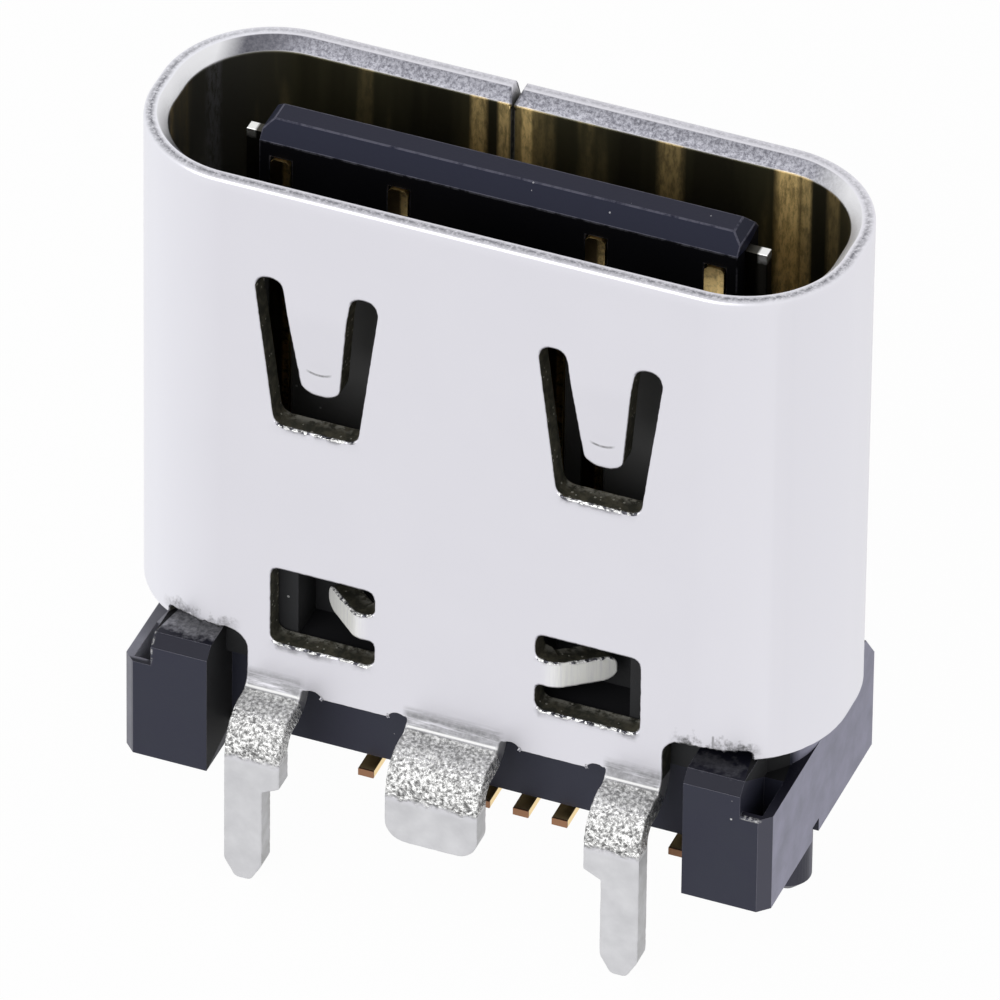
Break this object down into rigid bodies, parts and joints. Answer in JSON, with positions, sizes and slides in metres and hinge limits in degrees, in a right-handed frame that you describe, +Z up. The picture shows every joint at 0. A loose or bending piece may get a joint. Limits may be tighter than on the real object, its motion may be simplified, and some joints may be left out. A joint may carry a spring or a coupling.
{
  "type": "usb receptacle",
  "caption": "Upright board-mounted socket with an oval metal shell, pin legs, a moulded base with locating pegs and a flat tongue of contacts.",
  "frame": {"origin": "middle of the part on the top face of the circuit board, where the end blocks stand", "axes": "+Z up, out of the board and out of the port; +X along the long side of the oval shell; -Y is the front wall with the wide middle tab"},
  "size_m": [0.009, 0.0046, 0.0099],
  "materials": {
    "shell_metal": "bright satin plating",
    "housing_plastic": "moulded, dark charcoal",
    "plate_metal": "bare steel",
    "contact_metal": "gold plating"
  },
  "bodies": {
    "root": {"shell": "shell_metal", "base_housing": "housing_plastic", "tongue": "housing_plastic", "mid_plate": "plate_metal", "front_wafer": "housing_plastic", "rear_wafer": "housing_plastic", "front_contact_1": "contact_metal", "front_contact_2": "contact_metal", "front_contact_3": "contact_metal", "front_contact_4": "contact_metal", "front_contact_5": "contact_metal", "front_contact_6": "contact_metal", "front_contact_7": "contact_metal", "front_contact_8": "contact_metal", "rear_contact_1": "contact_metal", "rear_contact_2": "contact_metal", "rear_contact_3": "contact_metal", "rear_contact_4": "contact_metal", "rear_contact_5": "contact_metal", "rear_contact_6": "contact_metal", "rear_contact_7": "contact_metal", "rear_contact_8": "contact_metal"}
  },
  "joints": []
}
